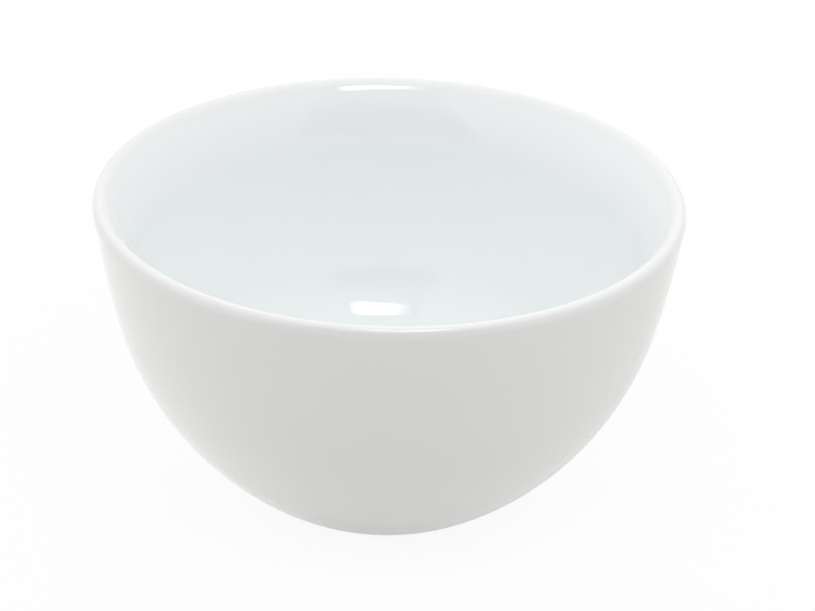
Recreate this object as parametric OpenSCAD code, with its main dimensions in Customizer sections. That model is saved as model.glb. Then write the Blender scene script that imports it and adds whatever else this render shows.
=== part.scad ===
// Latte bowl: a thick porcelain bowl without a handle, in the fired clay and the glaze melted on to it.
// Each piece is an outline of tangent arcs, X as the radius and Y as the height, turned about Z.
// The origin is the centre of the standing ring's face, and +Z points up out of the mouth.

/* [Bowl] */
// Outside diameter at the widest point of the lip
rim_d = 146; // [132:1:164]
// Height from the standing face to the top of the lip
bowl_h = 79.5; // [74:0.5:90]
// Height at which the steep wall turns into the rounder belly
belly_h = 51; // [42:0.5:56]
// Radius of the steep wall's arc in section, on the outside
wall_arc_r = 260; // [200:1:320]
// Lean of the outer wall right under the lip, in degrees
rim_lean = 7.5; // [4:0.5:10]

/* [Wall and lip] */
// Thickness of the wall with its glaze, where the belly begins
wall_t = 7.3; // [5.6:0.1:8.6]
// Radius of the inner wall's arc in section
inner_arc_r = 140; // [120:1:170]
// Radius of the lip's top
lip_top_r = 1.6; // [1.2:0.1:2]
// Radius of the lip's softer outer side
lip_out_r = 3; // [2.2:0.2:5]
// Radius of the lip's softer inner side
lip_in_r = 4; // [2.4:0.2:6]
// Angle above the horizontal at which the lip's outer side passes into its top, in degrees
lip_out_angle = 30; // [20:1:50]
// Angle above the horizontal at which the lip's inner side passes into its top, in degrees
lip_in_angle = 60; // [50:1:70]
// Radius of the slope that thins the wall to the lip, on the inside
lip_slope_r = 42; // [32:1:60]

/* [Base] */
// Outside diameter of the bare standing ring
foot_d = 63; // [56:1:72]
// Width of the standing ring's face
foot_w = 4.5; // [3:0.5:8]
// Depth of the recess inside the standing ring
well_depth = 2.5; // [1.8:0.1:4]
// Radius of the corner between the recess's side and its ceiling
well_corner_r = 1; // [0.5:0.1:1.5]
// Thickness of the floor over the recess, with its glaze
base_t = 5.5; // [4.5:0.1:8]
// Radius of the corner between the floor and the inner wall
floor_corner_r = 39; // [30:1:46]

/* [Glaze] */
// Thickness of the fired glaze
glaze_t = 0.3; // [0.2:0.05:0.5]
// Height of the bare band above the standing face
bare_h = 1; // [0.6:0.1:1.3]

/* [Hidden] */
$fn = 180;
// Most that a straight piece of an outline may leave its arc
arc_gap = 0.02;
// Most of the recess's glazed side that its corner may take up
corner_share = 0.9;

// Direction at an angle from the X axis
function away(angle) = [cos(angle), sin(angle)];

// Points along an arc after its first one. The finished radius sets their number, so that a surface shifted from the
// finished one has its points on the same spokes.
function arc(centre, radius, shift, from, to) =
    let (count = ceil(abs(to - from) / (2 * acos(1 - arc_gap / radius))))
    [for (i = [1 : count]) centre + (radius + shift) * away(from + (to - from) * i / count)];

function reverse(points) = [for (i = [len(points) - 1 : -1 : 0]) points[i]];

// Lip: a small round on top between two softer ones
lip_out_shift = lip_out_r - lip_top_r;
lip_in_shift = lip_in_r - lip_top_r;
lip_c = [rim_d / 2 - lip_out_r + lip_out_shift * cos(lip_out_angle), bowl_h - lip_top_r];
lip_out_c = lip_c - lip_out_shift * away(lip_out_angle);
lip_in_c = lip_c - lip_in_shift * away(180 - lip_in_angle);

// Wall: an arc that the lip's outer side touches from inside
wall_c = lip_out_c - (wall_arc_r - lip_out_r) * away(-rim_lean);

// Belly: an arc that carries on from the wall at belly_h, and whose clay ends at the standing ring's edge
belly_lean = asin((wall_c.y - belly_h) / wall_arc_r);
belly_out = away(-belly_lean);
foot_edge = [foot_d / 2, 0];
clay_turn = wall_c + (wall_arc_r - glaze_t) * belly_out;
clay_run = foot_edge - clay_turn;
belly_r = glaze_t - (clay_run * clay_run) / (2 * belly_out * clay_run);
belly_c = clay_turn - (belly_r - glaze_t) * belly_out;

// Inner wall: an arc of its own that lies wall_t inside the outer one at belly_h
inner_c = wall_c + (wall_arc_r - wall_t - inner_arc_r) * belly_out;

// Lip slope: an arc that touches the lip's inner side and, curving the other way, the inner wall
slope_to_inner = inner_arc_r + lip_slope_r;
slope_to_lip = lip_slope_r - lip_in_r;
lip_run = lip_in_c - inner_c;
lip_to_inner = norm(lip_run);
lip_way = lip_run / lip_to_inner;
slope_along = (slope_to_inner ^ 2 - slope_to_lip ^ 2 + lip_to_inner ^ 2) / (2 * lip_to_inner);
slope_down = sqrt(slope_to_inner ^ 2 - slope_along ^ 2);
slope_c = inner_c + slope_along * lip_way + slope_down * [lip_way.y, -lip_way.x];
slope_top_lean = atan2(lip_in_c.y - slope_c.y, slope_c.x - lip_in_c.x);
slope_end_lean = atan2(inner_c.y - slope_c.y, slope_c.x - inner_c.x);

// Floor corner: an arc that touches the floor and the inner wall
floor_z = well_depth + base_t;
corner_to_inner = inner_arc_r - floor_corner_r;
corner_rise = floor_z + floor_corner_r - inner_c.y;
corner_c = inner_c + [sqrt(corner_to_inner ^ 2 - corner_rise ^ 2), corner_rise];
corner_lean = asin(-corner_rise / corner_to_inner);

// Recess inside the standing ring
well_r = foot_d / 2 - foot_w;
well_fit_r = min(well_corner_r, corner_share * (well_depth - bare_h));
well_corner_c = [well_r - well_fit_r, well_depth - well_fit_r];

// Angle at which the belly passes the bare band's edge, on a surface that lies this far inside the finished one
function bare_lean(inset) = asin((belly_c.y - bare_h) / (belly_r - inset));

// Surface of the bowl from the bare band up the outside, over the lip and down the inside to the axis
function skin(inset) = concat(
    [belly_c + (belly_r - inset) * away(-bare_lean(inset))],
    arc(belly_c, belly_r, -inset, -bare_lean(inset), -belly_lean),
    arc(wall_c, wall_arc_r, -inset, -belly_lean, -rim_lean),
    arc(lip_out_c, lip_out_r, -inset, -rim_lean, 0),
    arc(lip_out_c, lip_out_r, -inset, 0, lip_out_angle),
    arc(lip_c, lip_top_r, -inset, lip_out_angle, 90),
    arc(lip_c, lip_top_r, -inset, 90, 180 - lip_in_angle),
    arc(lip_in_c, lip_in_r, -inset, 180 - lip_in_angle, 180 - slope_top_lean),
    arc(slope_c, lip_slope_r, -inset, 180 - slope_top_lean, 180 - slope_end_lean),
    arc(inner_c, inner_arc_r, inset, -slope_end_lean, -corner_lean),
    arc(corner_c, floor_corner_r, inset, -corner_lean, -90),
    [[0, floor_z - inset]]
);

// Surface of the recess from the axis to the bare band
function well_skin(inset) = concat(
    [[0, well_depth + inset]],
    [[well_corner_c.x, well_depth + inset]],
    arc(well_corner_c, well_fit_r, inset, 90, 0),
    [[well_r + inset, bare_h]]
);

// Fired clay, one glaze thickness inside the finished surface, bare on the standing ring
module porcelain_body()
    color("antiquewhite")
    rotate_extrude()
    polygon(concat([foot_edge], skin(glaze_t), well_skin(glaze_t), [[well_r + glaze_t, 0]]));

// Glaze over the outside, the lip and the inside
module glaze_coat()
    color("white")
    rotate_extrude()
    polygon(concat(skin(0), reverse(skin(glaze_t))));

// Glaze in the recess under the bowl
module foot_well_glaze()
    color("white")
    rotate_extrude()
    polygon(concat(well_skin(0), reverse(well_skin(glaze_t))));

porcelain_body();
glaze_coat();
foot_well_glaze();
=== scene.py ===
from math import asin, atan2, cos, degrees, pi, radians, sin, sqrt

import bmesh
import bpy
from mathutils import Matrix, Vector


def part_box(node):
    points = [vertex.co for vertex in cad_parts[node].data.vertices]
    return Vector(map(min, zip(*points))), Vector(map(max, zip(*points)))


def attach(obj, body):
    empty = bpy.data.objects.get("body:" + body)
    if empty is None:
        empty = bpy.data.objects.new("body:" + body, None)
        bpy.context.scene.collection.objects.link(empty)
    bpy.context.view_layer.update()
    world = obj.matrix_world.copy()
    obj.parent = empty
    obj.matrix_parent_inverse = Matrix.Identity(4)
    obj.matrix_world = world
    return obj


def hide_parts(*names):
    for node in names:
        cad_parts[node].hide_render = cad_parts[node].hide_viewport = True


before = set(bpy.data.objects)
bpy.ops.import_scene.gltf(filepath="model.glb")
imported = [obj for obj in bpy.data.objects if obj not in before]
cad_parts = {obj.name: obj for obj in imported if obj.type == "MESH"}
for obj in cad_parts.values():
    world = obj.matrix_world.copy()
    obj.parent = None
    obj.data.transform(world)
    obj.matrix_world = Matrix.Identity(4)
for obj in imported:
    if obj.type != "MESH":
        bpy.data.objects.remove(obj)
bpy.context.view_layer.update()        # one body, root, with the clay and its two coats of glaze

scene = bpy.context.scene
scene.view_settings.view_transform = "Standard"
touching = 1e-6          # metres: points that lie closer are one
noiseMiddle = 0.5        # what a noise is on average


# a socket that takes part in sums: every operator adds one Math node
class Wire:
    def __init__(self, bench, socket):
        self.bench = bench
        self.socket = socket

    def sum(self, operation, *values):
        return self.bench.put("ShaderNodeMath", {"operation": operation}, dict(enumerate(values)))

    def __add__(self, other):
        return self.sum("ADD", self, other)

    def __radd__(self, other):
        return self.sum("ADD", other, self)

    def __sub__(self, other):
        return self.sum("SUBTRACT", self, other)

    def __rsub__(self, other):
        return self.sum("SUBTRACT", other, self)

    def __mul__(self, other):
        return self.sum("MULTIPLY", self, other)

    def __rmul__(self, other):
        return self.sum("MULTIPLY", other, self)

    def __pow__(self, other):
        return self.sum("POWER", self, other)

    def top(self, other):
        return self.sum("MAXIMUM", self, other)

    # another output of the same node
    def output(self, name):
        return Wire(self.bench, self.socket.node.outputs[name])


class Bench:
    def __init__(self, tree):
        self.tree = tree
        tree.nodes.clear()

    # settings go on first, then the values or links of the sockets, by name or by number
    def put(self, kind, settings=None, inputs=None, out=0):
        node = self.tree.nodes.new(kind)
        for name, value in (settings or {}).items():
            setattr(node, name, value)
        for name, value in (inputs or {}).items():
            if isinstance(value, Wire):
                self.tree.links.new(value.socket, node.inputs[name])
            else:
                node.inputs[name].default_value = value
        return Wire(self, node.outputs[out]) if node.outputs else node

    # 0 below low, 1 above high, soft in between
    def rise(self, value, low, high):
        return self.put("ShaderNodeMapRange", {"interpolation_type": "SMOOTHSTEP"},
                        {"Value": value, "From Min": low, "From Max": high})

    def noise(self, coords, scale, detail, roughness=0.5):
        return self.put("ShaderNodeTexNoise", {"noise_dimensions": "3D"},
                        {"Vector": coords, "Scale": scale, "Detail": detail, "Roughness": roughness})

    # two colours: their sockets share names with those for numbers, so they go by number
    def blend(self, share, first, second):
        return self.put("ShaderNodeMix", {"data_type": "RGBA"}, {0: share, 6: first, 7: second}, out=2)

    # X, with Y and Z as its other outputs
    def split(self, vector):
        return self.put("ShaderNodeSeparateXYZ", inputs={"Vector": vector})

    # level by the side that a direction points to: left, right, front and back
    def allRound(self, way, left, right, front, back):
        flat = self.put("ShaderNodeVectorMath", {"operation": "MULTIPLY"}, {0: way, 1: (1, 1, 0)})
        across = self.split(self.put("ShaderNodeVectorMath", {"operation": "NORMALIZE"}, {0: flat}))
        along = across.output("Y")
        return ((left * (0 - across).top(0) ** 2 + right * across.top(0) ** 2)
                + (front * (0 - along).top(0) ** 2 + back * along.top(0) ** 2))


def newMaterial(name):
    material = bpy.data.materials.new(name)
    material.use_nodes = True
    return material, Bench(material.node_tree)


def newObject(bm, name, material):
    mesh = bpy.data.meshes.new(name)
    bm.to_mesh(mesh)
    bm.free()
    mesh.materials.append(material)
    made = bpy.data.objects.new(name, mesh)
    scene.collection.objects.link(made)
    return made


# the bowl's section, in metres: tangent arcs, with X as the radius and Z as the height
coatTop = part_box("glaze_coat")[1]
bowl = {
    "rimRadius": coatTop[0],
    "height": coatTop[2],
    "bellyHeight": 0.051,        # where the steep wall turns into the belly
    "wallArc": 0.260,
    "rimLean": radians(7.5),
    "wallThickness": 0.0073,     # at the belly's height
    "innerArc": 0.140,           # the inner wall has an arc of its own
    "lipTop": 0.0016,
    "lipOut": 0.003,             # softer rounds outside and inside the lip's top
    "lipIn": 0.004,
    "lipOutTurn": radians(30),
    "lipInTurn": radians(120),
    "lipSlopeArc": 0.042,        # thins the wall to the lip, inside
    "footRadius": 0.0315,
    "footWidth": 0.0045,
    "ringRound": 0.0004,         # at both edges of the standing face
    "ringSegments": 3,
    "wellDepth": 0.0025,
    "wellCorner": 0.001,
    "baseThickness": 0.0055,
    "floorCorner": 0.039,
    "glaze": 0.0003,
    "bareHeight": 0.001,         # bare clay above the table
    "turns": 192,                # steps round the bowl
    "smallSteps": 6,             # in the recess's corner and the glaze's edges
    "hiddenShare": 0.6,          # of the steps along the section, where glaze and clay meet
}


def toward(angle):
    return Vector((cos(angle), 0, sin(angle)))


# the lip: a small round on top between two softer ones, and the wall that the outer one touches
lipOutShift = bowl["lipOut"] - bowl["lipTop"]
lipInShift = bowl["lipIn"] - bowl["lipTop"]
lipCentre = Vector((bowl["rimRadius"] - bowl["lipOut"] + lipOutShift * cos(bowl["lipOutTurn"]),
                    0, bowl["height"] - bowl["lipTop"]))
lipOutCentre = lipCentre - lipOutShift * toward(bowl["lipOutTurn"])
lipInCentre = lipCentre - lipInShift * toward(bowl["lipInTurn"])
wallCentre = lipOutCentre - (bowl["wallArc"] - bowl["lipOut"]) * toward(-bowl["rimLean"])

# the belly carries on from the wall, and its clay ends at the edge of the foot
bellyLean = asin((wallCentre.z - bowl["bellyHeight"]) / bowl["wallArc"])
bellyWay = toward(-bellyLean)
footEdge = Vector((bowl["footRadius"], 0, 0))
clayTurn = wallCentre + (bowl["wallArc"] - bowl["glaze"]) * bellyWay
clayRun = footEdge - clayTurn
bellyArc = bowl["glaze"] - clayRun.length_squared / (2 * bellyWay.dot(clayRun))
bellyCentre = clayTurn - (bellyArc - bowl["glaze"]) * bellyWay
bareLean = asin((bellyCentre.z - bowl["bareHeight"]) / bellyArc)
footLean = asin(bellyCentre.z / (bellyArc - bowl["glaze"]))

# the slope inside the lip touches the lip's inner round and the inner wall
innerCentre = wallCentre + (bowl["wallArc"] - bowl["wallThickness"] - bowl["innerArc"]) * bellyWay
slopeToInner = bowl["innerArc"] + bowl["lipSlopeArc"]
slopeToLip = bowl["lipSlopeArc"] - bowl["lipIn"]
lipRun = lipInCentre - innerCentre
slopeAlong = (slopeToInner ** 2 - slopeToLip ** 2 + lipRun.length_squared) / (2 * lipRun.length)
slopeDown = sqrt(slopeToInner ** 2 - slopeAlong ** 2)
lipWay = lipRun.normalized()
slopeCentre = innerCentre + slopeAlong * lipWay + slopeDown * Vector((lipWay.z, 0, -lipWay.x))
slopeTop = atan2(lipInCentre.z - slopeCentre.z, slopeCentre.x - lipInCentre.x)
slopeEnd = atan2(innerCentre.z - slopeCentre.z, slopeCentre.x - innerCentre.x)

# the corner between floor and inner wall
floorHeight = bowl["wellDepth"] + bowl["baseThickness"]
cornerToInner = bowl["innerArc"] - bowl["floorCorner"]
cornerRise = floorHeight + bowl["floorCorner"] - innerCentre.z
cornerCentre = innerCentre + Vector((sqrt(cornerToInner ** 2 - cornerRise ** 2), 0, cornerRise))
cornerLean = asin(-cornerRise / cornerToInner)

# the recess inside the standing ring
wellRadius = bowl["footRadius"] - bowl["footWidth"]
wellCentre = Vector((wellRadius - bowl["wellCorner"], 0, bowl["wellDepth"] - bowl["wellCorner"]))
wellWall = wellRadius + bowl["glaze"]
print("section worked out: belly arc %.1f mm, slope at the lip %.1f degrees"
      % (bellyArc * 1000, degrees(slopeTop)))


# spins the end of an outline about a centre, counter-clockwise as seen from the front, and gives the new end
def turnArc(bm, end, centre, angle, steps):
    turned = bmesh.ops.spin(bm, geom=[end], cent=centre, axis=(0, -1, 0), angle=angle, steps=steps)
    return [part for part in turned["geom_last"] if isinstance(part, bmesh.types.BMVert)][0]


def drawLine(bm, end, place):
    drawn = bmesh.ops.extrude_vert_indiv(bm, verts=[end])
    drawn["verts"][0].co = place
    return drawn["verts"][0]


# from the belly up the outside, over the lip and down the inside to the axis
def drawSkin(bm, end, startLean, share):
    arcs = (                     # centre, angle and steps
        (bellyCentre, startLean - bellyLean, 36),
        (wallCentre, bellyLean - bowl["rimLean"], 16),
        (lipOutCentre, bowl["rimLean"] + bowl["lipOutTurn"], 8),
        (lipCentre, bowl["lipInTurn"] - bowl["lipOutTurn"], 12),
        (lipInCentre, pi - slopeTop - bowl["lipInTurn"], 8),
        (slopeCentre, slopeTop - slopeEnd, 14),
        (innerCentre, slopeEnd - cornerLean, 20),
        (cornerCentre, cornerLean - pi / 2, 20),
    )
    for centre, angle, steps in arcs:
        end = turnArc(bm, end, centre, angle, int(steps * share))
    end = drawLine(bm, end, (end.co.x / 2, 0, end.co.z))
    drawLine(bm, end, (0, 0, end.co.z))


# turns the outline about the bowl's axis and closes the seam and the poles
def turnAbout(bm):
    bmesh.ops.spin(bm, geom=bm.verts[:] + bm.edges[:], cent=(0, 0, 0), axis=(0, 0, 1),
                   angle=2 * pi, steps=bowl["turns"], use_merge=True)
    bmesh.ops.remove_doubles(bm, verts=bm.verts[:], dist=touching)
    bmesh.ops.recalc_face_normals(bm, faces=bm.faces[:])


def finishPiece(bm, name, material, node):
    for face in bm.faces:
        face.smooth = True
    piece = newObject(bm, name, material)
    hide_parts(node)
    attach(piece, "root")
    print("%s: %d faces" % (name, len(piece.data.polygons)))


# glossy white glaze, a little duller where it gathers on the floor, and painted darker over the lip as
# painted shade
glazeLook = {
    "white": (0.857, 0.882, 0.887),
    "gathered": (0.846, 0.875, 0.881),
    "gatherRise": 0.02,          # above the floor
    "gatherClouds": 0.5,         # share of it that comes and goes
    # painted shade: the band over the lip's top is given a darker tone than the rest of the glaze
    "lip": (0.833, 0.845, 0.843),
    "lipShadeBand": 0.0035,           # down from the lip's top
    "roughness": 0.03,
    "roughnessSpread": 0.016,
    "echoRoughness": 0.4,        # for the glaze as it is mirrored in itself along the curve of the wall
    "echoDepth": 1.0,            # mirrored once before
    "cloudScale": 24.0,
    "cloudDetail": 3.0,
    "waveScale": 38.0,           # slow swells in the glaze, a few to the width of a hand
    "waveDetail": 2.0,
    "waveDepth": 0.00004,
    "peelScale": 700.0,          # fine peel, under 2 mm
    "peelDetail": 1.0,
    "peelDepth": 0.000002,
    "ior": 1.5,
}


def makeGlaze(look):
    material, bench = newMaterial("whiteGlaze")
    place = bench.put("ShaderNodeTexCoord", out="Object")
    height = bench.split(place).output("Z")
    waves = bench.noise(place, look["waveScale"], look["waveDetail"])
    clouds = bench.noise(place, look["cloudScale"], look["cloudDetail"])
    peel = bench.noise(place, look["peelScale"], look["peelDetail"])
    # where the lip's band of painted shade lies
    lipShadeShare = bench.rise(height, bowl["height"] - look["lipShadeBand"], bowl["height"])
    onFloor = 1 - bench.rise(height, floorHeight, floorHeight + look["gatherRise"])
    gatherShare = onFloor * ((1 - look["gatherClouds"]) + look["gatherClouds"] * clouds)
    tone = bench.blend(gatherShare, (*look["white"], 1), (*look["gathered"], 1))
    tone = bench.blend(lipShadeShare, tone, (*look["lip"], 1))
    bounces = bench.put("ShaderNodeLightPath", out="Glossy Depth")
    echo = bench.rise(bounces, look["echoDepth"] / 2, look["echoDepth"])
    shine = (look["roughness"] + (clouds - noiseMiddle) * look["roughnessSpread"]
             + echo * look["echoRoughness"])
    relief = waves * look["waveDepth"] + peel * look["peelDepth"]
    bump = bench.put("ShaderNodeBump", inputs={"Height": relief, "Distance": 1.0, "Strength": 1.0})
    surface = bench.put("ShaderNodeBsdfPrincipled",
                        inputs={"Base Color": tone, "Roughness": shine, "Normal": bump, "IOR": look["ior"]})
    bench.put("ShaderNodeOutputMaterial", inputs={"Surface": surface})
    return material


# fired clay without glaze: matt, a little warm, fine grain, rubbed grey where it stands
clayLook = {
    "fresh": (0.80, 0.775, 0.73),
    "rubbed": (0.62, 0.60, 0.57),
    "roughness": 0.62,
    "roughnessSpread": 0.2,
    "noiseDetail": 3.0,
    "noiseRoughness": 0.6,
    "grainScale": 2600.0,
    "grainDepth": 0.00002,
    "speckRange": (0.62, 0.75),  # part of the grain that shows as specks
    "speckShare": 0.35,
    "smearScale": 160.0,
    "smearRange": (0.48, 0.72),
    "smearShare": 0.7,
    "smearHeight": (0.0001, 0.0005),
}


def makeClay(look):
    material, bench = newMaterial("bareClay")
    place = bench.put("ShaderNodeTexCoord", out="Object")
    height = bench.split(place).output("Z")
    grain = bench.noise(place, look["grainScale"], look["noiseDetail"], look["noiseRoughness"])
    smears = bench.noise(place, look["smearScale"], look["noiseDetail"], look["noiseRoughness"])
    smears = bench.rise(smears, *look["smearRange"])
    standing = 1 - bench.rise(height, *look["smearHeight"])
    specks = bench.rise(grain, *look["speckRange"])
    tone = bench.blend(smears * standing * look["smearShare"], (*look["fresh"], 1), (*look["rubbed"], 1))
    tone = bench.blend(specks * look["speckShare"], tone, (*look["rubbed"], 1))
    shine = look["roughness"] + (grain - noiseMiddle) * look["roughnessSpread"]
    bump = bench.put("ShaderNodeBump", inputs={"Height": grain * look["grainDepth"], "Distance": 1.0})
    surface = bench.put("ShaderNodeBsdfPrincipled",
                        inputs={"Base Color": tone, "Roughness": shine, "Normal": bump})
    bench.put("ShaderNodeOutputMaterial", inputs={"Surface": surface})
    return material


whiteGlaze = makeGlaze(glazeLook)
bareClay = makeClay(clayLook)
print("materials made")

# glaze over the outside, the lip and the inside, with a rounded edge above the foot
bm = bmesh.new()
edge = bmesh.ops.create_vert(bm, co=bellyCentre + bellyArc * toward(-bareLean))["vert"][0]
drawSkin(bm, edge, bareLean, 1.0)
edgeCentre = bellyCentre + (bellyArc - bowl["glaze"] / 2) * toward(-bareLean)
edge = turnArc(bm, edge, edgeCentre, -pi, bowl["smallSteps"])
drawSkin(bm, edge, bareLean, bowl["hiddenShare"])
turnAbout(bm)
finishPiece(bm, "glazeCoat", whiteGlaze, "glaze_coat")

# fired clay under it, bare on the standing ring
bm = bmesh.new()
edge = bmesh.ops.create_vert(bm, co=footEdge)["vert"][0]
drawSkin(bm, edge, footLean, bowl["hiddenShare"])
edge = drawLine(bm, edge, (wellWall, 0, 0))
edge = drawLine(bm, edge, (wellWall, 0, wellCentre.z))
edge = turnArc(bm, edge, wellCentre, pi / 2, bowl["smallSteps"])
drawLine(bm, edge, (0, 0, edge.co.z))
turnAbout(bm)
ringEdges = [e for e in bm.edges if all(v.co.z < touching for v in e.verts)
             and abs(e.verts[0].co.xy.length - e.verts[1].co.xy.length) < touching]
bmesh.ops.bevel(bm, geom=ringEdges, offset=bowl["ringRound"], offset_type="OFFSET", affect="EDGES",
                segments=bowl["ringSegments"], profile=0.5, material=-1)
finishPiece(bm, "porcelainBody", bareClay, "porcelain_body")

# glaze in the recess under the bowl
bm = bmesh.new()
edge = bmesh.ops.create_vert(bm, co=(0, 0, bowl["wellDepth"]))["vert"][0]
edge = drawLine(bm, edge, (wellCentre.x, 0, bowl["wellDepth"]))
edge = turnArc(bm, edge, wellCentre, -pi / 2, bowl["smallSteps"])
edge = drawLine(bm, edge, (wellRadius, 0, bowl["bareHeight"]))
edgeCentre = (wellRadius + bowl["glaze"] / 2, 0, bowl["bareHeight"])
edge = turnArc(bm, edge, edgeCentre, pi, bowl["smallSteps"])
edge = drawLine(bm, edge, (wellWall, 0, wellCentre.z))
edge = turnArc(bm, edge, wellCentre, pi / 2, bowl["smallSteps"])
drawLine(bm, edge, (0, 0, edge.co.z))
turnAbout(bm)
finishPiece(bm, "footWellGlaze", whiteGlaze, "foot_well_glaze")
print("bowl made")

# floor: white where it is seen, with the bowl's soft shadow left on it
# four levels are for the left, the right, the front and the back
stage = {
    "floorReach": 3.0,
    "floorTone": (0.92, 0.89, 0.865),
    "mottleTone": (0.9, 0.87, 0.84),
    "mottleShare": 0.1,
    "mottleScale": 6.0,
    "mottleDetail": 3.0,
    "whiteShare": 0.93,
    "mirrored": (1.0, 0.82, 0.79, 1.2),      # the floor as the bowl mirrors it
    "skyLow": (1.025, 0.81, 0.845, 0.81),
    "skyMiddle": (0.93, 0.89, 0.92, 0.84),
    "skyTop": 1.125,
    "toneLow": (1.03, 1.0, 0.98),
    "toneHigh": (0.99, 1.0, 1.0),
}
floorMaterial, bench = newMaterial("paleFloor")
path = bench.put("ShaderNodeLightPath", out="Is Camera Ray")
seen = path.top(path.output("Is Glossy Ray")).top(path.output("Is Transmission Ray"))
place = bench.put("ShaderNodeTexCoord", out="Object")
mottle = bench.noise(place, stage["mottleScale"], stage["mottleDetail"]) * stage["mottleShare"]
paper = bench.blend(mottle, (*stage["floorTone"], 1), (*stage["mottleTone"], 1))
lit = bench.put("ShaderNodeBsdfDiffuse", inputs={"Color": paper})
mirrored = bench.allRound(place, *stage["mirrored"])
glow = bench.put("ShaderNodeEmission", inputs={"Color": mirrored + path * (1 - mirrored), "Strength": 1.0})
mixed = bench.put("ShaderNodeMixShader", inputs={0: seen * stage["whiteShare"], 1: lit, 2: glow})
bench.put("ShaderNodeOutputMaterial", inputs={"Surface": mixed})
bm = bmesh.new()
bmesh.ops.create_grid(bm, x_segments=1, y_segments=1, size=stage["floorReach"])
newObject(bm, "floor", floorMaterial)

# pale room all round, at about the level that shows a colour as it is written, and white to the camera
world = bpy.data.worlds.new("whiteRoom")
scene.world = world
world.use_nodes = True
bench = Bench(world.node_tree)
path = bench.put("ShaderNodeLightPath", out="Is Camera Ray")
way = bench.put("ShaderNodeTexCoord", out="Generated")
upward = bench.split(way).output("Z").top(0)
low = bench.allRound(way, *stage["skyLow"])
middle = bench.allRound(way, *stage["skyMiddle"])
level = (low * (1 - upward) ** 2 + middle * upward * (2 - 2 * upward)) + stage["skyTop"] * upward ** 2
tone = bench.blend(upward, (*stage["toneLow"], 1), (*stage["toneHigh"], 1))
sky = bench.put("ShaderNodeBackground", inputs={"Color": tone, "Strength": level})
backdrop = bench.put("ShaderNodeBackground", inputs={"Color": (1, 1, 1, 1), "Strength": 1.0})
mixed = bench.put("ShaderNodeMixShader", inputs={0: path, 1: sky, 2: backdrop})
bench.put("ShaderNodeOutputWorld", inputs={"Surface": mixed})


# flat glowing card of the stage, by its corners
def standCard(name, material, corners, shadow):
    bm = bmesh.new()
    for corner in corners:
        bmesh.ops.create_vert(bm, co=corner)
    bmesh.ops.contextual_create(bm, geom=bm.verts[:])
    card = newObject(bm, name, material)
    card.visible_camera = False
    card.visible_shadow = shadow


# dark opening in the front of the bright room, and the grey wall between it and the lamp
opening = {
    "away": -0.9,
    "glow": 0.02,
    "corners": ((-0.875, 0), (0.876, 0), (0.713, 0.596), (-0.475, 0.596), (-0.711, 0.3)),
    "wallGlow": 0.45,
    "wallCorners": ((-0.475, 0.596), (0.713, 0.596), (0.66, 0.86), (-0.42, 0.86)),
}
for name, level, corners in (("darkOpening", "glow", "corners"), ("greyWall", "wallGlow", "wallCorners")):
    material, bench = newMaterial(name)
    glow = bench.put("ShaderNodeEmission", inputs={"Color": (1, 1, 1, 1), "Strength": opening[level]})
    bench.put("ShaderNodeOutputMaterial", inputs={"Surface": glow})
    places = [(across, opening["away"], height) for across, height in opening[corners]]
    standCard(name, material, places, True)

# lamp over the opening, with soft edges, most of all at the left
lamp = {
    "strength": 13.3,
    "left": -0.10,
    "right": 0.127,
    "low": (-0.208, 0.300),      # where its lower and upper edges run, by Y and Z
    "high": (-0.185, 0.414),
    "leftFade": 0.16,
    "rightFade": 0.05,
    "edgeFade": 0.03,
}
lampMaterial, bench = newMaterial("lampGlow")
across = bench.split(bench.put("ShaderNodeTexCoord", out="Object"))
height = across.output("Z")
level = (bench.rise(across, lamp["left"], lamp["left"] + lamp["leftFade"])
         * (1 - bench.rise(across, lamp["right"] - lamp["rightFade"], lamp["right"]))
         * bench.rise(height, lamp["low"][1], lamp["low"][1] + lamp["edgeFade"])
         * (1 - bench.rise(height, lamp["high"][1] - lamp["edgeFade"], lamp["high"][1])))
glow = bench.put("ShaderNodeEmission", inputs={"Color": level, "Strength": lamp["strength"]})
bench.put("ShaderNodeOutputMaterial", inputs={"Surface": glow})
standCard("lamp", lampMaterial, [(lamp["left"], *lamp["low"]), (lamp["right"], *lamp["low"]),
                                 (lamp["right"], *lamp["high"]), (lamp["left"], *lamp["high"])], False)
print("stage set")

# camera, fitted to the photograph for a guessed distance of 70 cm: about 25 degrees above the rim
view = {
    "distance": 0.7,
    "rise": radians(25.277),
    "from": (0, 0, 0.0779),
    "aim": (0.005113, 0, 0.047989),
    "roll": radians(1.616),
    "lens": 125.476,
    "sensor": 36,
    "nearest": 0.01,
}
camera = bpy.data.objects.new("camera", bpy.data.cameras.new("camera"))
scene.collection.objects.link(camera)
camera.data.sensor_fit = "HORIZONTAL"
camera.data.sensor_width = view["sensor"]
camera.data.lens = view["lens"]
camera.data.clip_start = view["nearest"]
spot = Vector(view["from"]) + view["distance"] * Vector((0, -cos(view["rise"]), sin(view["rise"])))
look = (Vector(view["aim"]) - spot).to_track_quat("-Z", "Y").to_matrix().to_4x4()
camera.matrix_world = Matrix.Translation(spot) @ look @ Matrix.Rotation(view["roll"], 4, "Z")
scene.camera = camera
print("camera placed")
